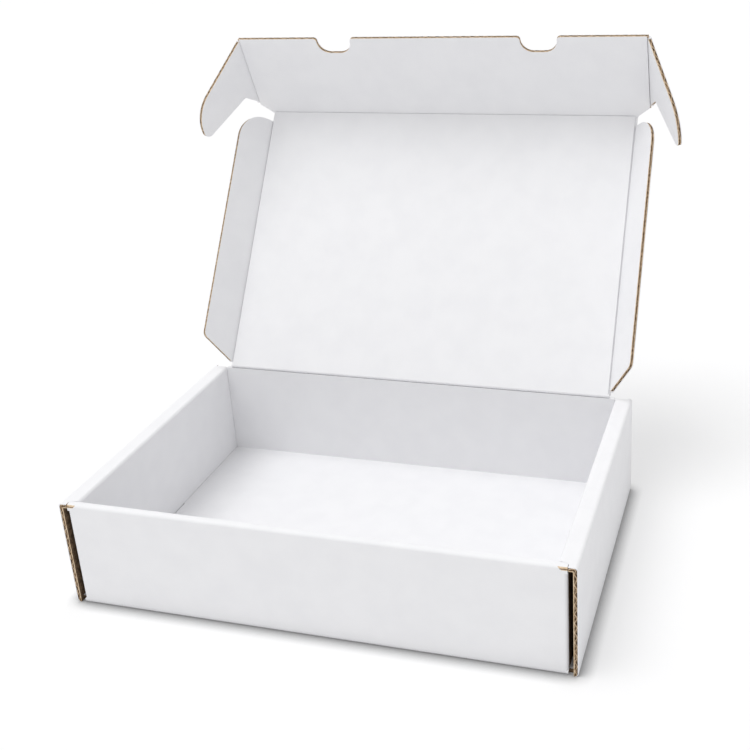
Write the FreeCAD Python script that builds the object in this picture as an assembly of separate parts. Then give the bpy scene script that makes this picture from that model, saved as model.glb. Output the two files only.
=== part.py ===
import FreeCAD, Part
import math
import os

# A white corrugated mailer box with its hinged lid standing open.
# X is to the right, Y to the back, Z up, in millimetres.
# The origin is at the centre of the base, on its underside.

# Board and outside of the tray
board = 2.6
width = 300.0
depth = 195.0
height = 67.0

# Room between the layers of the folded sheet
layer_play = 0.2
ear_slot = 2.8
seam = 0.3

# Radii of the folds
bottom_fold_r = 2.2
rim_fold_r = 1.9
inner_fold_r = 0.5

# Corner flaps between the two layers of the side walls
front_corner_flap_len = 72.0
back_corner_flap_len = 58.0
corner_flap_chamfer = 9.0
corner_flap_drop = 1.5

# Lock tabs that hold the inner layers down, and their slots in the base
side_tab_len = 26.0
front_tab_len = 30.0
front_tab_spacing = 150.0
tab_play = 0.5
tab_tip_rise = 0.3
tick_height = 0.9

# Lid and the gaps it closes with
lid_lift = 0.15
front_flap_play = 1.0
fold_play = 0.06
dust_lean_play = 0.7
dust_wall_play = 1.4

# Dust flaps on the sides of the lid
dust_flap_width = 25.5
dust_back_start = 2.5
dust_back_slope = 14.0
dust_back_r = 5.0
dust_front_play = 0.8
dust_front_r = 20.0

# Front flap, its thumb notches and shoulders
front_flap_len = 63.5
shoulder = 8.0
notch_width = 25.0
notch_depth = 11.5
notch_spacing = 146.0
notch_round = 2.5
notch_bottom_share = 0.98

# Ears on the sides of the front flap
ear_len = 54.0
ear_root_start = 8.5
ear_relief = 11.0
ear_relief_r = 2.0
ear_tip_start = 9.8
ear_free_inset = 1.5
ear_free_slope = 28.0
ear_big_r = 26.0
ear_tip_r = 5.0

# How far each fold stands open: 0 is flat for the flaps and shut for the lid
lid_open = 126.0
front_flap_fold = 61.0
dust_flap_fold = 57.0
ear_fold = 64.0

V = FreeCAD.Vector
X_AXIS = V(1, 0, 0)
Y_AXIS = V(0, 1, 0)
Z_AXIS = V(0, 0, 1)
beyond = 1.0

half_w = width / 2
half_d = depth / 2
foot = board + layer_play

# Faces of the side walls' layers, from the outside in
outer_wall_in = half_w - board
front_half = outer_wall_in - ear_slot
corner_flap_in = front_half - board
inner_wall_out = corner_flap_in - layer_play
inner_wall_in = inner_wall_out - board
back_half = outer_wall_in - layer_play
front_wall_depth = 2 * board + layer_play

# Fold axes of the lid and its flaps
bead_r = board / 2
hinge_y = half_d - bead_r
hinge_z = height + lid_lift + bead_r
front_fold_y = -half_d - front_flap_play - bead_r
lid_len = hinge_y - front_fold_y
dust_axis_x = inner_wall_in - dust_wall_play - bead_r
dust_flap_end = hinge_y + half_d - front_wall_depth - dust_front_play
ear_axis_x = outer_wall_in - ear_slot / 2


def rounded_wire(corners):
    """A closed wire through (point, radius) corners, with an arc at each radius."""
    count = len(corners)
    starts, mids, ends = [], [], []
    for i in range(count):
        point, radius = corners[i]
        if radius == 0:
            starts.append(point)
            mids.append(None)
            ends.append(point)
            continue
        back = (corners[i - 1][0] - point).normalize()
        ahead = (corners[(i + 1) % count][0] - point).normalize()
        half_angle = back.getAngle(ahead) / 2
        reach = radius / math.tan(half_angle)
        inward = (back + ahead).normalize()
        centre = point + inward * (radius / math.sin(half_angle))
        starts.append(point + back * reach)
        mids.append(centre - inward * radius)
        ends.append(point + ahead * reach)
    edges = []
    for i in range(count):
        if mids[i] is not None:
            edges.append(Part.Arc(starts[i], mids[i], ends[i]).toShape())
        following = starts[(i + 1) % count]
        if (following - ends[i]).Length > 1e-6:
            edges.append(Part.LineSegment(ends[i], following).toShape())
    return Part.Wire(edges)


def prism(corners, direction):
    return Part.Face(rounded_wire(corners)).extrude(direction)


def box(x_range, y_range, z_range):
    low = V(x_range[0], y_range[0], z_range[0])
    high = V(x_range[1], y_range[1], z_range[1])
    size = high - low
    return Part.makeBox(size.x, size.y, size.z, low)


def both_sides(shape):
    return [shape, shape.mirror(V(0, 0, 0), X_AXIS)]


def base_and_side_walls():
    """The base with both side walls, each rolled over its rim and down to the base again."""
    right = [
        (half_w, 0, bottom_fold_r),
        (half_w, height, rim_fold_r),
        (inner_wall_in, height, rim_fold_r),
        (inner_wall_in, foot, 0),
        (inner_wall_out, foot, 0),
        (inner_wall_out, height - board, inner_fold_r),
        (outer_wall_in, height - board, inner_fold_r),
        (outer_wall_in, board, inner_fold_r),
    ]
    left = [(-x, z, radius) for x, z, radius in reversed(right)]
    corners = [(V(x, -half_d, z), radius) for x, z, radius in right + left]
    return prism(corners, V(0, depth, 0))


def front_wall():
    """The front wall, rolled over its rim, with square ends where its corner flaps fold off."""
    front = -half_d
    inside = front + front_wall_depth
    tail = front + 3 * board
    section = [
        (tail, 0, 0),
        (front, 0, bottom_fold_r),
        (front, height, rim_fold_r),
        (inside, height, rim_fold_r),
        (inside, foot, 0),
        (inside - board, foot, 0),
        (inside - board, height - board, 0),
        (front + board, height - board, 0),
        (front + board, board, 0),
        (tail, board, 0),
    ]
    corners = [(V(-front_half, y, z), radius) for y, z, radius in section]
    wall = prism(corners, V(2 * front_half, 0, 0))
    rim_end = [
        V(front_half, front + board, 0),
        V(front_half + beyond, front + board, 0),
        V(front_half + beyond, inside + beyond, 0),
        V(inner_wall_in - seam, inside + beyond, 0),
        V(inner_wall_in - seam, inside, 0),
    ]
    inner_end = box(
        (inner_wall_in - seam, front_half + beyond),
        (front + board + layer_play, inside + beyond),
        (board, height - board),
    )
    rim_end = prism([(point + V(0, 0, height - board), 0) for point in rim_end], V(0, 0, board + beyond))
    corner_end = box(
        (front_half - board, front_half + beyond),
        (front - beyond, front + board),
        (board + layer_play, height - board - corner_flap_drop),
    )
    return wall.cut(both_sides(rim_end) + both_sides(inner_end) + both_sides(corner_end))


def front_wall_room():
    """What the side walls give up to the front wall and to the mouth of each ear slot."""
    front = -half_d
    side = front_half + seam
    inside = front + front_wall_depth
    lower = box((-side, side), (front - beyond, front + board + layer_play), (-beyond, height - board))
    rim = [
        V(-side, front - beyond, height - board),
        V(side, front - beyond, height - board),
        V(side, front + board, height - board),
        V(inner_wall_in, inside, height - board),
        V(inner_wall_in, inside + seam, height - board),
        V(-inner_wall_in, inside + seam, height - board),
        V(-inner_wall_in, inside, height - board),
        V(-side, front + board, height - board),
    ]
    rim = prism([(point, 0) for point in rim], V(0, 0, board + beyond))
    mouth = box(
        (front_half, outer_wall_in),
        (front - beyond, front + board + seam),
        (-beyond, height - board),
    )
    return [lower, rim] + both_sides(mouth)


def back_wall():
    """The single back wall. Only the stretch that carries the lid rises to the rim."""
    front = half_d - board
    section = [
        (front - board, 0, 0),
        (half_d, 0, bottom_fold_r),
        (half_d, height, 0),
        (front, height, 0),
        (front, board, inner_fold_r),
        (front - board, board, 0),
    ]
    corners = [(V(-back_half, y, z), radius) for y, z, radius in section]
    wall = prism(corners, V(2 * back_half, 0, 0))
    under_rim = box(
        (inner_wall_in - seam, back_half + beyond),
        (front - beyond, half_d + beyond),
        (height - board - layer_play, height + beyond),
    )
    return wall.cut(both_sides(under_rim))


def back_wall_room():
    """What the side walls give up to the back wall."""
    lower = box(
        (-outer_wall_in, outer_wall_in),
        (half_d - board - layer_play, half_d + beyond),
        (-beyond, height - board),
    )
    rim = box(
        (-outer_wall_in, outer_wall_in),
        (half_d - bead_r, half_d + beyond),
        (height - board, height + beyond),
    )
    return [lower, rim]


def corner_flap(fold_x, fold_y, flap_len, way):
    """The flap that turns off the right end of the front or back wall, along y."""
    low = board + layer_play
    high = height - board - corner_flap_drop
    end = fold_y + way * flap_len
    plan = [
        (fold_x - 2 * board, fold_y, 0),
        (fold_x, fold_y, bottom_fold_r),
        (fold_x, end, 0),
        (fold_x - board, end, 0),
        (fold_x - board, fold_y + way * board, inner_fold_r),
        (fold_x - 2 * board, fold_y + way * board, 0),
    ]
    flap = prism([(V(x, y, low), radius) for x, y, radius in plan], V(0, 0, high - low))
    cuts = []
    for level, into in ((low, 1), (high, -1)):
        triangle = [
            V(fold_x - 2 * board, end - way * corner_flap_chamfer, level),
            V(fold_x - 2 * board, end + way * beyond, level - into * beyond),
            V(fold_x - 2 * board, end + way * beyond, level + into * (corner_flap_chamfer + beyond)),
        ]
        cuts.append(prism([(point, 0) for point in triangle], V(3 * board, 0, 0)))
    return flap.cut(cuts)


def side_tab():
    half = side_tab_len / 2
    return box((inner_wall_in, inner_wall_out), (-half, half), (tab_tip_rise, foot))


def side_tab_slot():
    """The slot of a side tab, which runs out through the fold as a low tick."""
    half = side_tab_len / 2 + tab_play
    slot = box(
        (inner_wall_in - tab_play, inner_wall_out + tab_play),
        (-half, half),
        (-beyond, board + beyond / 10),
    )
    tick = box((inner_wall_out, half_w + beyond), (0, half), (-beyond, tick_height))
    return slot.fuse(tick)


def front_tab(play, low, high):
    """A tab of the front wall's inner layer, or with play and more height its slot."""
    centre = front_tab_spacing / 2
    half = front_tab_len / 2 + play
    inside = -half_d + front_wall_depth
    return box((centre - half, centre + half), (inside - board - play, inside + play), (low, high))


def tray():
    shell = base_and_side_walls().cut(front_wall_room() + back_wall_room())
    front_flap_at_corner = corner_flap(front_half, -half_d, front_corner_flap_len, 1)
    back_flap_at_corner = corner_flap(back_half, half_d, back_corner_flap_len, -1)
    walls = [front_wall(), back_wall()]
    walls += both_sides(front_flap_at_corner) + both_sides(back_flap_at_corner)
    sheet = shell.fuse(walls)
    slots = both_sides(side_tab_slot())
    slots += both_sides(front_tab(min(tab_play, layer_play), -beyond, board + beyond / 10))
    tabs = both_sides(side_tab()) + both_sides(front_tab(0, tab_tip_rise, foot))
    return sheet.cut(slots).fuse(tabs).removeSplitter()


def plate(corners):
    """Board lying flat in a fold's own frame: x outward from the fold, inside face down."""
    return prism([(V(x, y, -bead_r), radius) for x, y, radius in corners], V(0, 0, board))


def fold_bead(y_range):
    length = y_range[1] - y_range[0]
    return Part.makeCylinder(bead_r, length, V(0, y_range[0], 0), Y_AXIS)


def fold_room(y_range, lean_play=fold_play):
    """What the panel before a fold gives up to it: a hollow outside, a step inside."""
    length = y_range[1] - y_range[0]
    hollow = Part.makeCylinder(bead_r + fold_play, length, V(0, y_range[0], 0), Y_AXIS)
    step = box((-bead_r - lean_play, board), y_range, (-board, 0))
    ahead = box((-bead_r / 3, board), y_range, (-board, board))
    return hollow.fuse([step, ahead])


def fold_frame(parent, offset, turn, fold):
    """The frame of a fold: moved and turned about z in its parent, then folded inward."""
    seat = FreeCAD.Placement(offset, FreeCAD.Rotation(Z_AXIS, turn))
    bend = FreeCAD.Placement(V(0, 0, 0), FreeCAD.Rotation(Y_AXIS, fold))
    return parent.multiply(seat).multiply(bend)


def in_frame(shape, frame):
    moved = shape.copy()
    moved.Placement = frame
    return moved


def at_side_fold(shape, side_x, side):
    """A shape from a side flap's flat frame, put where its parent's side fold is."""
    turn = -90 * side
    seat = FreeCAD.Placement(V(0, side * side_x, 0), FreeCAD.Rotation(Z_AXIS, -turn))
    return in_frame(shape, seat)


def flipped(shape, side):
    """The flap as drawn for the left side, or its mirror image for the right."""
    if side < 0:
        return shape
    return shape.mirror(V(0, 0, 0), Y_AXIS)


def lid_panel():
    """The lid, with x from its hinge to its front fold and y across the box."""
    side = dust_axis_x
    corners = [(0, -side, 0), (lid_len, -side, 0), (lid_len, side, 0), (0, side, 0)]
    panel = plate(corners)
    front_room = fold_room((-side - beyond, side + beyond))
    front_room.translate(V(lid_len, 0, 0))
    rooms = [front_room]
    side_room = fold_room((-lid_len - beyond, lid_len + beyond), dust_lean_play)
    rooms += [at_side_fold(side_room, side, way) for way in (-1, 1)]
    hinge = fold_bead((-side + bead_r, side - bead_r))
    return panel.cut(rooms).fuse(hinge).removeSplitter()


def dust_flap_blank():
    """A left dust flap: y runs along its fold, from the hinge to the front."""
    corners = [
        (0, dust_back_start, 0),
        (dust_flap_width, dust_back_start + dust_back_slope, dust_back_r),
        (dust_flap_width, dust_flap_end, dust_front_r),
        (0, dust_flap_end, 0),
    ]
    bead = fold_bead((dust_back_start, dust_flap_end))
    return plate(corners).fuse(bead).removeSplitter()


def ear_blank():
    """A left ear: y runs along its fold, from the lid to the free edge of the front flap."""
    free_end = front_flap_len - ear_free_inset
    taper = ear_len * math.tan(math.radians(ear_free_slope))
    corners = [
        (0, ear_root_start, 0),
        (ear_relief, ear_root_start + ear_relief, ear_relief_r),
        (ear_len, ear_tip_start, ear_tip_r),
        (ear_len, free_end - taper, ear_big_r),
        (0, free_end, 0),
    ]
    return plate(corners).fuse(fold_bead((ear_root_start, free_end))).removeSplitter()


def thumb_notch(centre):
    """What a thumb notch takes out of the front flap's free edge."""
    half = notch_width / 2
    edge = front_flap_len
    mouth = half + 2 * notch_round
    deep_r = (notch_depth - notch_round) * notch_bottom_share
    corners = [
        (edge + beyond, centre - mouth, 0),
        (edge, centre - mouth, 0),
        (edge, centre - half, notch_round),
        (edge - notch_depth, centre - half, deep_r),
        (edge - notch_depth, centre + half, deep_r),
        (edge, centre + half, notch_round),
        (edge, centre + mouth, 0),
        (edge + beyond, centre + mouth, 0),
    ]
    return plate(corners)


def front_flap_panel():
    """The front flap, with x from its fold to its free edge and y across the box."""
    root = dust_axis_x
    side = ear_axis_x
    corners = [
        (0, -root, 0),
        (shoulder, -side, 0),
        (front_flap_len, -side, 0),
        (front_flap_len, side, 0),
        (shoulder, side, 0),
        (0, root, 0),
    ]
    panel = plate(corners)
    ear_room = fold_room((-front_flap_len - beyond, front_flap_len + beyond))
    rooms = [at_side_fold(ear_room, side, way) for way in (-1, 1)]
    notches = [thumb_notch(way * notch_spacing / 2) for way in (-1, 1)]
    return panel.cut(rooms + notches).fuse(fold_bead((-root, root))).removeSplitter()


def save(shape, node):
    solid = shape.Solids[0]
    solid.exportStep("parts/" + node + ".step")
    print(node, "solids", len(shape.Solids), "valid", solid.isValid(), "volume", round(solid.Volume, 1))


def main():
    os.makedirs("parts", exist_ok=True)
    shut = FreeCAD.Placement(V(0, hinge_y, hinge_z), FreeCAD.Rotation(Z_AXIS, -90))
    lid_frame = fold_frame(shut, V(0, 0, 0), 0, -lid_open)
    front_frame = fold_frame(lid_frame, V(lid_len, 0, 0), 0, front_flap_fold)
    save(tray(), "tray")
    save(in_frame(lid_panel(), lid_frame), "lid")
    save(in_frame(front_flap_panel(), front_frame), "front_flap")
    for side, name in ((-1, "left"), (1, "right")):
        dust_frame = fold_frame(lid_frame, V(0, side * dust_axis_x, 0), 90 * side, dust_flap_fold)
        ear_frame = fold_frame(front_frame, V(0, side * ear_axis_x, 0), 90 * side, ear_fold)
        save(in_frame(flipped(dust_flap_blank(), side), dust_frame), "dust_flap_" + name)
        save(in_frame(flipped(ear_blank(), side), ear_frame), "ear_" + name)


main()
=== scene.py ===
import math

import bmesh
import bpy
from mathutils import Matrix, Vector


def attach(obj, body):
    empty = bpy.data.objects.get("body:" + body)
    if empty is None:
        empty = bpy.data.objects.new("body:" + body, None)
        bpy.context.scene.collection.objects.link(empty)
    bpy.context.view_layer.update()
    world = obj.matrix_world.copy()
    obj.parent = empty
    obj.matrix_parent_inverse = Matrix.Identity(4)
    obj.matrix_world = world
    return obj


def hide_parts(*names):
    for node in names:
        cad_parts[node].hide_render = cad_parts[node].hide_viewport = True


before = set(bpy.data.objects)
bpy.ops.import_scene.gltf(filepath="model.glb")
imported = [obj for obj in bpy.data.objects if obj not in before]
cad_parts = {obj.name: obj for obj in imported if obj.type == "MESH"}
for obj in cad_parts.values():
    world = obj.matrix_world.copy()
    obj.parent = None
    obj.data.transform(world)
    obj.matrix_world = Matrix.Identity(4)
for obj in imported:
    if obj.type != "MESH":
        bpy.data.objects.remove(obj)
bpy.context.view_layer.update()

mm = 0.001
print("frame loaded:", len(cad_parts), "nodes")

# Where the folds are, in millimetres and degrees
fold = {
    "board": 2.6,
    "halfWidth": 150.0,
    "halfDepth": 97.5,
    "height": 67.0,
    "lidLift": 0.15,
    "frontPlay": 1.0,
    "dustAxis": 136.5,
    "earAxis": 146.0,
    "lidOpen": 126.0,
    "frontFold": 61.0,
    "dustFold": 57.0,
    "earFold": 64.0,
}


def turned(axis, degrees):
    return Matrix.Rotation(math.radians(degrees), 4, axis)


def moved(x, y, z):
    return Matrix.Translation((x * mm, y * mm, z * mm))


bead = fold["board"] / 2
hingeY = fold["halfDepth"] - bead
lidLen = hingeY + fold["halfDepth"] + fold["frontPlay"] + bead
shut = moved(0, hingeY, fold["height"] + fold["lidLift"] + bead) @ turned("Z", -90)
lidFrame = shut @ turned("Y", -fold["lidOpen"])
frontFrame = lidFrame @ moved(lidLen, 0, 0) @ turned("Y", fold["frontFold"])
frames = {"lid": lidFrame, "front_flap": frontFrame}
for side, name in ((-1, "left"), (1, "right")):
    toDust = moved(0, side * fold["dustAxis"], 0) @ turned("Z", 90 * side)
    frames["dust_flap_" + name] = lidFrame @ toDust @ turned("Y", fold["dustFold"])
    toEar = moved(0, side * fold["earAxis"], 0) @ turned("Z", 90 * side)
    frames["ear_" + name] = frontFrame @ toEar @ turned("Y", fold["earFold"])

# White liner: matt paper with a faint mottle, fine fibres and the flutes just showing through
paperLook = {
    "colour": (0.845, 0.845, 0.86),
    "shade": (0.825, 0.825, 0.842),
    "mottleScale": 60.0,
    "mottleDetail": 8.0,
    "mottleFrom": 0.35,
    "mottleTo": 0.62,
    "roughness": 0.62,
    "specular": 0.3,
    "fibre": 0.12,
    "fibreScale": 1400.0,
    "fibreDetail": 3.0,
    "fibreHeight": 0.0002,
    "washboard": 0.03,
    "washboardHeight": 0.0003,
    "washboardWobble": 0.15,
    "fluteMm": 6.0,
}
# Raw edges: light liners, brown fluted layer, kraft hollows mottled with painted shade of the
# deep flutes, and painted shade, darker still, inside the ear slots
kraftLook = {
    "linerDark": (0.58, 0.42, 0.26),
    "linerLight": (0.78, 0.64, 0.47),
    "layerDark": (0.52, 0.37, 0.23),
    "layerLight": (0.72, 0.55, 0.38),
    # Painted shade of the deep flute hollows, mottled with the lighter kraft
    "hollowDark": (0.21, 0.14, 0.085),
    "hollowLight": (0.68, 0.53, 0.37),
    # Painted shade for the inside of the ear slots and the dark band of the rim curls
    "slotDark": (0.10, 0.065, 0.04),
    "slotLight": (0.21, 0.14, 0.085),
    "mottleScale": 620.0,
    "mottleDetail": 4.0,
    "mottleFrom": 0.38,
    "mottleTo": 0.62,
    "roughness": 0.85,
    "specular": 0.15,
}


def newMaterial(name):
    material = bpy.data.materials.new(name)
    material.use_nodes = True
    tree = material.node_tree
    return material, tree, tree.nodes["Principled BSDF"]


def noiseTint(tree, shader, scale, detail, low, high):
    place = tree.nodes.new("ShaderNodeTexCoord")
    noise = tree.nodes.new("ShaderNodeTexNoise")
    noise.inputs["Scale"].default_value = scale
    noise.inputs["Detail"].default_value = detail
    tree.links.new(place.outputs["Object"], noise.inputs["Vector"])
    tint = tree.nodes.new("ShaderNodeValToRGB")
    first, last = tint.color_ramp.elements
    first.position, first.color = low
    last.position, last.color = high
    tree.links.new(noise.outputs["Fac"], tint.inputs["Fac"])
    tree.links.new(tint.outputs["Color"], shader.inputs["Base Color"])
    return place


def paperMaterial(look):
    material, tree, shader = newMaterial("white_liner")
    low = (look["mottleFrom"], (*look["shade"], 1))
    high = (look["mottleTo"], (*look["colour"], 1))
    place = noiseTint(tree, shader, look["mottleScale"], look["mottleDetail"], low, high)
    fibre = tree.nodes.new("ShaderNodeTexNoise")
    fibre.inputs["Scale"].default_value = look["fibreScale"]
    fibre.inputs["Detail"].default_value = look["fibreDetail"]
    tree.links.new(place.outputs["Object"], fibre.inputs["Vector"])
    sheet = tree.nodes.new("ShaderNodeUVMap")
    sheet.uv_map = "sheet"
    wave = tree.nodes.new("ShaderNodeTexWave")
    wave.bands_direction = "X"
    wave.inputs["Scale"].default_value = math.pi / 10 / (look["fluteMm"] * mm)
    wave.inputs["Distortion"].default_value = look["washboardWobble"]
    tree.links.new(sheet.outputs["UV"], wave.inputs["Vector"])
    ribs = tree.nodes.new("ShaderNodeBump")
    ribs.inputs["Strength"].default_value = look["washboard"]
    ribs.inputs["Distance"].default_value = look["washboardHeight"]
    tree.links.new(wave.outputs["Fac"], ribs.inputs["Height"])
    grain = tree.nodes.new("ShaderNodeBump")
    grain.inputs["Strength"].default_value = look["fibre"]
    grain.inputs["Distance"].default_value = look["fibreHeight"]
    tree.links.new(fibre.outputs["Fac"], grain.inputs["Height"])
    tree.links.new(ribs.outputs["Normal"], grain.inputs["Normal"])
    tree.links.new(grain.outputs["Normal"], shader.inputs["Normal"])
    shader.inputs["Roughness"].default_value = look["roughness"]
    shader.inputs["Specular IOR Level"].default_value = look["specular"]
    return material


def kraftMaterial(name, part, look):
    material, tree, shader = newMaterial(name)
    low = (look["mottleFrom"], (*look[part + "Dark"], 1))
    high = (look["mottleTo"], (*look[part + "Light"], 1))
    noiseTint(tree, shader, look["mottleScale"], look["mottleDetail"], low, high)
    shader.inputs["Roughness"].default_value = look["roughness"]
    shader.inputs["Specular IOR Level"].default_value = look["specular"]
    return material


boardMaterials = (
    paperMaterial(paperLook),
    kraftMaterial("liner_edge", "liner", kraftLook),
    kraftMaterial("fluted_layer", "layer", kraftLook),
    kraftMaterial("flute_hollow_and_painted_shade", "hollow", kraftLook),
    kraftMaterial("slot_painted_shade", "slot", kraftLook),
)
# hollow is kraft mottled with painted shade; slot is painted shade
white, liner, layer, hollow, slot = range(len(boardMaterials))  # material slots of every piece
print("materials made")

# The cut section of the board, as shares of its thickness
edgeLook = {
    "liner": 0.19,
    "layer": 0.075,
    "swing": 0.25,
    "depthMm": 1.3,
    "stepMm": 0.7,
    "driftMm": 0.9,
    "slowDrift": 0.043,
    "quickDrift": 0.117,
    "quickShare": 0.6,
    "quickStart": 1.3,
}
# The hollow bands get the kraft colour mottled with painted shade
bandMaterials = (liner, hollow, hollow, hollow, layer, hollow, hollow, hollow, white)


# Pairs of place through the board and depth behind the cut
def sectionRow(across, along):
    quick = math.sin(along * edgeLook["quickDrift"] + edgeLook["quickStart"])
    drift = math.sin(along * edgeLook["slowDrift"]) + edgeLook["quickShare"] * quick
    turn = 2 * math.pi * (across + edgeLook["driftMm"] * drift) / paperLook["fluteMm"]
    mid = 0.5 + edgeLook["swing"] * math.sin(turn)
    low = edgeLook["liner"]
    high = 1 - low
    under = min(max(mid - edgeLook["layer"], low), high)
    over = min(max(mid + edgeLook["layer"], low), high)
    deep = edgeLook["depthMm"] * mm
    return [
        (0, 0), (low, 0), (low, deep), (under, deep), (under, 0),
        (over, 0), (over, deep), (high, deep), (high, 0), (1, 0),
    ]


# Each sample has a point on either face, the way into the board,
# and its place across and along the flutes, in mm
def addRibbon(mesh, samples):
    grid = []
    for first, second, into, across, along in samples:
        row = [first.lerp(second, v) + into * d for v, d in sectionRow(across, along)]
        grid.append([mesh.verts.new(point) for point in row])
    for i in range(len(grid) - 1):
        for j in range(len(bandMaterials)):
            corners = (grid[i][j], grid[i][j + 1], grid[i + 1][j + 1], grid[i + 1][j])
            face = mesh.faces.new(corners)
            face.material_index = bandMaterials[j]


# Vertices of the edges in order, one list for each unbroken chain
def chains(edges):
    ahead = {}
    for edge in edges:
        for one, other in (edge.verts, reversed(edge.verts)):
            ahead.setdefault(one, []).append(other)
    ends = [v for v in ahead if len(ahead[v]) == 1]
    used, found = set(), []
    for start in sorted(ends, key=lambda v: tuple(v.co)) + list(ahead):
        if start in used:
            continue
        chain = [start]
        used.add(start)
        while True:
            following = [v for v in ahead[chain[-1]] if v not in used]
            if not following:
                break
            chain.append(following[0])
            used.add(following[0])
        if len(chain) > 1:
            found.append(chain)
    return found


# Swaps a flat panel's plain raw faces for the board's open section
def cutEdges(mesh, isRaw, acrossAxis):
    half = bead * mm
    raw = [face for face in mesh.faces if isRaw(face)]
    rawSet = set(raw)
    rim = []
    for face in raw:
        for edge in face.edges:
            inPlane = all(abs(v.co.z - half) < 0.02 * mm for v in edge.verts)
            if inPlane and sum(f in rawSet for f in edge.link_faces) == 1:
                rim.append(edge)
    outward = {edge: [f.normal.copy() for f in edge.link_faces if f in rawSet][0] for edge in rim}
    paths = []
    for chain in chains(rim):
        points = [v.co.copy() for v in chain]
        normals = []
        for i in range(len(chain) - 1):
            joined = (e for e in chain[i].link_edges if e.other_vert(chain[i]) == chain[i + 1])
            normals.append(outward[next(e for e in joined if e in outward)])
        paths.append((points, normals))
    bmesh.ops.delete(mesh, geom=raw, context="FACES")
    for points, normals in paths:
        samples, along = [], 0.0
        for i in range(len(points) - 1):
            start, end = points[i], points[i + 1]
            length = (end - start).length
            if length < 1e-7:
                continue
            before = normals[i - 1] if i else normals[i]
            after = normals[i + 1] if i + 1 < len(normals) else normals[i]
            steps = max(1, round(length / (edgeLook["stepMm"] * mm)))
            last = i == len(points) - 2
            for k in range(steps + (1 if last else 0)):
                share = k / steps
                top = start.lerp(end, share)
                normal = normals[i]
                if k == 0:
                    normal = (before + normals[i]).normalized()
                if k == steps:
                    normal = (after + normals[i]).normalized()
                bottom = top - Vector((0, 0, 2 * half))
                across = top[acrossAxis] / mm
                samples.append((bottom, top, -normal, across, (along + share * length) / mm))
            along += length
        addRibbon(mesh, samples)


# Turns the finished mesh into the piece that is shown for the node
def finishPiece(mesh, name, node, body):
    bmesh.ops.remove_doubles(mesh, verts=mesh.verts, dist=1e-7)
    loose = [v for v in mesh.verts if not v.link_faces]
    bmesh.ops.delete(mesh, geom=loose, context="VERTS")
    data = bpy.data.meshes.new(name)
    mesh.to_mesh(data)
    mesh.free()
    data.shade_flat()
    for material in boardMaterials:
        data.materials.append(material)
    piece = bpy.data.objects.new(name, data)
    bpy.context.scene.collection.objects.link(piece)
    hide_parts(node)
    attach(piece, body)
    return piece


def nodeMesh(node):
    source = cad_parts[node].data
    mesh = bmesh.new()
    corners = [mesh.verts.new(vertex.co) for vertex in source.vertices]
    for polygon in source.polygons:
        mesh.faces.new([corners[i] for i in polygon.vertices])
    bmesh.ops.remove_doubles(mesh, verts=mesh.verts, dist=1e-6)
    mesh.normal_update()
    nearlyFlat = math.radians(0.5)
    bmesh.ops.dissolve_limit(mesh, angle_limit=nearlyFlat, verts=mesh.verts, edges=mesh.edges)
    mesh.normal_update()
    return mesh


# UVs in metres: across the flutes, then along them
def mapSheet(mesh, acrossOf):
    sheet = mesh.loops.layers.uv.new("sheet")
    for face in mesh.faces:
        for loop in face.loops:
            loop[sheet].uv = acrossOf(face, loop.vert.co)


# Lid and flaps
flapLook = {
    "lid": {"acrossAxis": 1, "rawFrom": 1e9},  # the lid has no raw edge that shows
    "front_flap": {"acrossAxis": 1, "rawFrom": 1.0},
    "dust_flap": {"acrossAxis": 0, "rawFrom": 0.02},
    "ear": {"acrossAxis": 0, "rawFrom": 0.02},
}


def flapPiece(node):
    kind = node.replace("_left", "").replace("_right", "")
    look = flapLook[kind]
    place = frames[node]
    mesh = nodeMesh(node)
    mesh.transform(place.inverted())
    mesh.normal_update()
    sideLimit = (fold["earAxis"] - 1.6 * bead) * mm if kind == "front_flap" else 1.0

    def isRaw(face):
        centre = face.calc_center_median()
        flat = abs(face.normal.z) < 0.2
        tall = max(v.co.z for v in face.verts) - min(v.co.z for v in face.verts) > 1.9 * bead * mm
        inside = centre.x > look["rawFrom"] * mm and abs(centre.y) < sideLimit
        return flat and tall and inside

    cutEdges(mesh, isRaw, look["acrossAxis"])
    along = 1 - look["acrossAxis"]
    mapSheet(mesh, lambda face, co: (co[look["acrossAxis"]], co[along]))
    mesh.transform(place)
    return finishPiece(mesh, node + "_board", node, node)


for node in frames:
    piece = flapPiece(node)
    print(node, "faces", len(piece.data.polygons))

# Tray
trayLook = {
    "bottomRound": 2.2,
    "rimRound": 1.9,
    "innerRound": 0.5,
    "slotReach": 144.9,
    "slotInner": 144.6,
    "arcSteps": 6,
    "slotBottom": 3.2,
    "slotFront": -90.0,
    "curl": (
        {"low": 64.7, "high": 65.15, "from": 141.2, "material": liner},
        # Painted shade: the dark slot colour stands for the shade inside the curled edge
        {"low": 65.15, "high": 65.65, "from": 140.5, "material": slot},
        {"low": 65.65, "high": 66.15, "from": 139.9, "material": layer},
        {"low": 66.15, "high": 66.5, "from": 139.5, "material": liner},
    ),
    "curlDepth": 1.5,
}


def arcPoints(cx, cz, radius, start, end, steps):
    points = []
    for k in range(steps + 1):
        angle = math.radians(start + (end - start) * k / steps)
        points.append((cx + radius * math.cos(angle), cz + radius * math.sin(angle)))
    return points


def straight(first, second, steps):
    across, up = second[0] - first[0], second[1] - first[1]
    shares = [k / steps for k in range(steps + 1)]
    return [(first[0] + across * share, first[1] + up * share) for share in shares]


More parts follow.
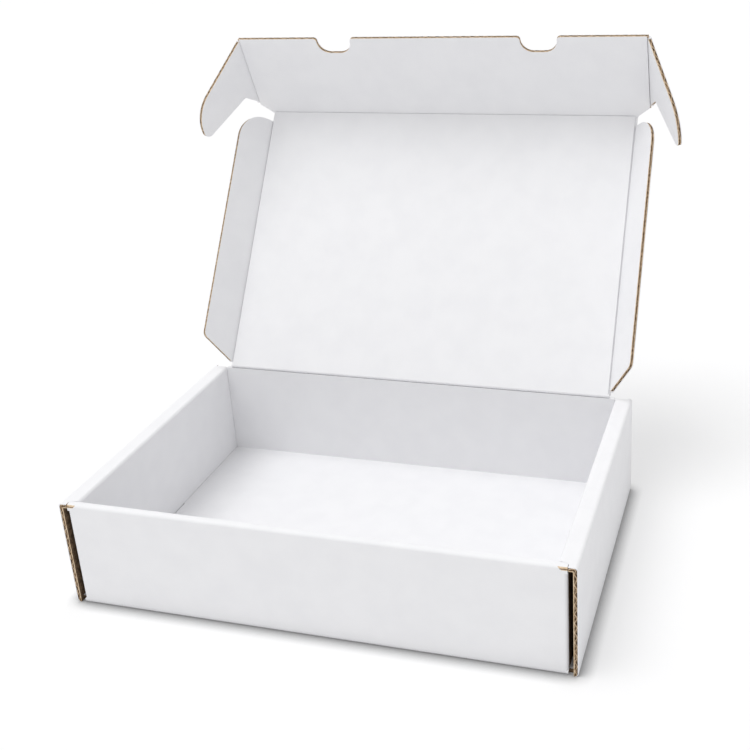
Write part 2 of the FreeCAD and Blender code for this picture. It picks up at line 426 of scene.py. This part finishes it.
# The outer side panel's front end, from the base up and over the rim
def frontEnd(side):
    w, h, b = fold["halfWidth"], fold["height"], fold["board"]
    low, top, inner = trayLook["bottomRound"], trayLook["rimRound"], trayLook["innerRound"]
    reach = trayLook["slotReach"]
    arcs = trayLook["arcSteps"]
    steps = round((h - low - top) / edgeLook["stepMm"])
    outer = arcPoints(w - low, low, low, -90, 0, arcs)
    outer += straight((w, low), (w, h - top), steps)[1:]
    outer += arcPoints(w - top, h - top, top, 0, 90, arcs)[1:]
    outer += straight((w - top, h), (reach, h), 5)[1:]
    within = straight((w - b, 0), (w - b, low), arcs)
    within += straight((w - b, low), (w - b, h - b - inner), steps)[1:]
    within += arcPoints(w - b - inner, h - b - inner, inner, 0, 90, arcs)[1:]
    within += straight((w - b - inner, h - b), (reach, h - b), 5)[1:]
    return edgeSamples(outer, within, side, -fold["halfDepth"], 1)


# The outer side panel's rear end beside the back wall
def rearEnd(side):
    w, h, b = fold["halfWidth"], fold["height"], fold["board"]
    low, top = trayLook["bottomRound"], trayLook["rimRound"]
    arcs = trayLook["arcSteps"]
    steps = round((h - low - top) / edgeLook["stepMm"])
    outer = arcPoints(w - low, low, low, -90, 0, arcs)
    outer += straight((w, low), (w, h - top), steps)[1:]
    outer += arcPoints(w - top, h - top, top, 0, 90, arcs)[1:]
    within = [(w - b, point[1]) for point in outer]
    return edgeSamples(outer, within, side, fold["halfDepth"], -1)


def edgeSamples(outer, within, side, y, into):
    samples, along = [], 0.0
    last = None
    for (ox, oz), (ix, iz) in zip(outer, within):
        mid = Vector(((ox + ix) / 2, (oz + iz) / 2))
        along += (mid - last).length if last is not None else 0.0
        last = mid
        first = Vector((side * ix, y, iz)) * mm
        second = Vector((side * ox, y, oz)) * mm
        samples.append((first, second, Vector((0, into, 0)), along, along))
    return samples


# The side walls' raw ends go on over the ends of the front rim, painted as coloured bands on the
# rim's faces, with one band in painted shade
def addCurls(mesh):
    bands = trayLook["curl"]
    start = min(band["from"] for band in bands)
    yFront = -(fold["halfDepth"] - trayLook["curlDepth"]) * mm

    def cut(point, normal):
        faces = [f for f in mesh.faces if all(v.co.y < yFront for v in f.verts)]
        faces = [f for f in faces if max(v.co.z for v in f.verts) > bands[0]["low"] * mm]
        faces = [f for f in faces if max(abs(v.co.x) for v in f.verts) > (start + 0.01) * mm]
        parts = dict.fromkeys(faces)
        for face in faces:
            parts.update(dict.fromkeys(face.edges))
            parts.update(dict.fromkeys(face.verts))
        bmesh.ops.bisect_plane(mesh, geom=list(parts), dist=1e-7, plane_co=point, plane_no=normal)

    for band in bands:
        for side in (-1, 1):
            cut((side * band["from"] * mm, 0, 0), (1, 0, 0))
    for z in [band["low"] for band in bands] + [bands[-1]["high"]]:
        cut((0, 0, z * mm), (0, 0, 1))
    for face in mesh.faces:
        x, y, z = face.calc_center_median() / mm
        for band in bands:
            level = band["low"] < z < band["high"]
            reached = band["from"] < abs(x) < trayLook["slotReach"]
            if level and reached and y < yFront / mm:
                face.material_index = band["material"]


# The ear slots look nearly black in the photo
# Painted shade: the inner faces and floor of the ear slots get the dark slot colour
def shadeSlots(mesh):
    inner, outer, play = trayLook["slotInner"], fold["halfWidth"] - fold["board"], 0.05
    for face in mesh.faces:
        x, y, z = face.calc_center_median() / mm
        between = inner - play < abs(x) < outer + play
        if between and y < trayLook["slotFront"] and z < trayLook["slotBottom"]:
            face.material_index = slot
        if abs(face.normal.x) < 0.9995:
            continue
        inward = x * face.normal.x < 0
        if abs(abs(x) - (outer if inward else inner)) < play:
            face.material_index = slot


def trayPiece():
    mesh = nodeMesh("tray")
    yEnd = (fold["halfDepth"] - 0.02) * mm
    nearSlot = (trayLook["slotReach"] - 0.1) * mm
    outerOnly = (fold["halfWidth"] - fold["board"] - 0.1) * mm

    def isRaw(face):
        xs = [abs(v.co.x) for v in face.verts]
        ys = [v.co.y for v in face.verts]
        front = face.normal.y < -0.9 and max(ys) < -yEnd and min(xs) > nearSlot
        rear = face.normal.y > 0.9 and min(ys) > yEnd and min(xs) > outerOnly
        return front or rear

    raw = [face for face in mesh.faces if isRaw(face)]
    print("tray raw faces", len(raw))
    bmesh.ops.delete(mesh, geom=raw, context="FACES")
    addCurls(mesh)
    shadeSlots(mesh)
    for side in (-1, 1):
        addRibbon(mesh, frontEnd(side))
        addRibbon(mesh, rearEnd(side))

    def acrossOf(face, co):
        if abs(face.normal.x) > 0.7:
            return (co.z, co.y)
        if abs(face.normal.y) > 0.7:
            return (co.x, co.z)
        return (co.x, co.y)

    mapSheet(mesh, acrossOf)
    return finishPiece(mesh, "tray_board", "tray", "tray")


piece = trayPiece()
print("tray", "faces", len(piece.data.polygons))

# Floor and studio
studio = {
    "floorSize": 40.0,
    "floorColour": (0.90, 0.90, 0.905),
    "floorRoughness": 0.9,
    "floorLift": 0.36,
    "contactSamples": 8,
    "contactMm": 9.0,
    "contactFrom": 0.5,
    "contactDark": 0.36,
    "contactColour": (0.08, 0.08, 0.085),
    "world": 0.73,
    "key": {"from": (-0.85, -0.35, 2.4), "spread": 38.0, "strength": 1.36},
}


def makeFloor():
    material, tree, shader = newMaterial("floor_sweep")
    shader.inputs["Base Color"].default_value = (*studio["floorColour"], 1)
    shader.inputs["Roughness"].default_value = studio["floorRoughness"]
    glow = tree.nodes.new("ShaderNodeEmission")
    path = tree.nodes.new("ShaderNodeLightPath")
    share = tree.nodes.new("ShaderNodeMath")
    share.operation = "MULTIPLY"
    share.inputs[1].default_value = studio["floorLift"]
    tree.links.new(path.outputs["Is Camera Ray"], share.inputs[0])
    mix = tree.nodes.new("ShaderNodeMixShader")
    tree.links.new(share.outputs["Value"], mix.inputs["Fac"])
    tree.links.new(shader.outputs["BSDF"], mix.inputs[1])
    tree.links.new(glow.outputs["Emission"], mix.inputs[2])
    # Closer shade where the box meets the floor
    near = tree.nodes.new("ShaderNodeAmbientOcclusion")
    near.samples = studio["contactSamples"]
    near.inputs["Distance"].default_value = studio["contactMm"] * mm
    reach = tree.nodes.new("ShaderNodeMapRange")
    reach.inputs["From Min"].default_value = studio["contactFrom"]
    reach.inputs["To Min"].default_value = studio["contactDark"]
    tree.links.new(near.outputs["AO"], reach.inputs["Value"])
    shade = tree.nodes.new("ShaderNodeBsdfDiffuse")
    shade.inputs["Color"].default_value = (*studio["contactColour"], 1)
    contact = tree.nodes.new("ShaderNodeMixShader")
    tree.links.new(reach.outputs["Result"], contact.inputs["Fac"])
    tree.links.new(shade.outputs["BSDF"], contact.inputs[1])
    tree.links.new(mix.outputs["Shader"], contact.inputs[2])
    tree.links.new(contact.outputs["Shader"], tree.nodes["Material Output"].inputs["Surface"])
    half = studio["floorSize"] / 2
    data = bpy.data.meshes.new("floor")
    corners = [(-half, -half, 0), (half, -half, 0), (half, half, 0), (-half, half, 0)]
    data.from_pydata(corners, [], [(0, 1, 2, 3)])
    data.materials.append(material)
    floor = bpy.data.objects.new("floor", data)
    bpy.context.scene.collection.objects.link(floor)


def makeWorld():
    world = bpy.data.worlds.new("studio")
    world.use_nodes = True
    bpy.context.scene.world = world
    tree = world.node_tree
    background = tree.nodes["Background"]
    background.inputs["Color"].default_value = (1.0, 1.0, 1.0, 1)
    background.inputs["Strength"].default_value = studio["world"]
    backdrop = tree.nodes.new("ShaderNodeBackground")
    backdrop.inputs["Color"].default_value = (1.0, 1.0, 1.0, 1)
    backdrop.inputs["Strength"].default_value = 1.0
    path = tree.nodes.new("ShaderNodeLightPath")
    mix = tree.nodes.new("ShaderNodeMixShader")
    tree.links.new(path.outputs["Is Camera Ray"], mix.inputs["Fac"])
    tree.links.new(background.outputs["Background"], mix.inputs[1])
    tree.links.new(backdrop.outputs["Background"], mix.inputs[2])
    tree.links.new(mix.outputs["Shader"], tree.nodes["World Output"].inputs["Surface"])


def makeKey():
    look = studio["key"]
    data = bpy.data.lights.new("key", "SUN")
    data.angle = math.radians(look["spread"])
    data.energy = look["strength"]
    lamp = bpy.data.objects.new("key", data)
    lamp.location = look["from"]
    lamp.rotation_euler = (-Vector(look["from"])).to_track_quat("-Z", "Y").to_euler()
    bpy.context.scene.collection.objects.link(lamp)


makeFloor()
makeWorld()
makeKey()
print("studio made")

# Camera, fitted to the photograph's corners and fold lines
view = {
    "at": (237.28, -571.95, 397.05),
    "yaw": 17.83,
    "pitch": -22.46,
    "roll": -3.12,
    "focalPixels": 1142.19,
    "centre": (440.0, 330.0),
    "picture": 750.0,
    "sensor": 36.0,
}


def makeCamera():
    yaw, pitch, roll = (math.radians(view[key]) for key in ("yaw", "pitch", "roll"))
    level = math.cos(pitch)
    ahead = Vector((-math.sin(yaw) * level, math.cos(yaw) * level, math.sin(pitch)))
    flat = ahead.cross(Vector((0, 0, 1))).normalized()
    upward = flat.cross(ahead)
    right = math.cos(roll) * flat + math.sin(roll) * upward
    up = -math.sin(roll) * flat + math.cos(roll) * upward
    place = Matrix((right, up, -ahead)).transposed().to_4x4()
    place.translation = Vector(view["at"]) * mm
    data = bpy.data.cameras.new("camera")
    data.sensor_width = view["sensor"]
    data.lens = view["sensor"] * view["focalPixels"] / view["picture"]
    data.shift_x = 0.5 - view["centre"][0] / view["picture"]
    data.shift_y = view["centre"][1] / view["picture"] - 0.5
    camera = bpy.data.objects.new("camera", data)
    camera.matrix_world = place
    bpy.context.scene.collection.objects.link(camera)
    bpy.context.scene.camera = camera


makeCamera()
bpy.context.scene.view_settings.view_transform = "Standard"
print("camera set")
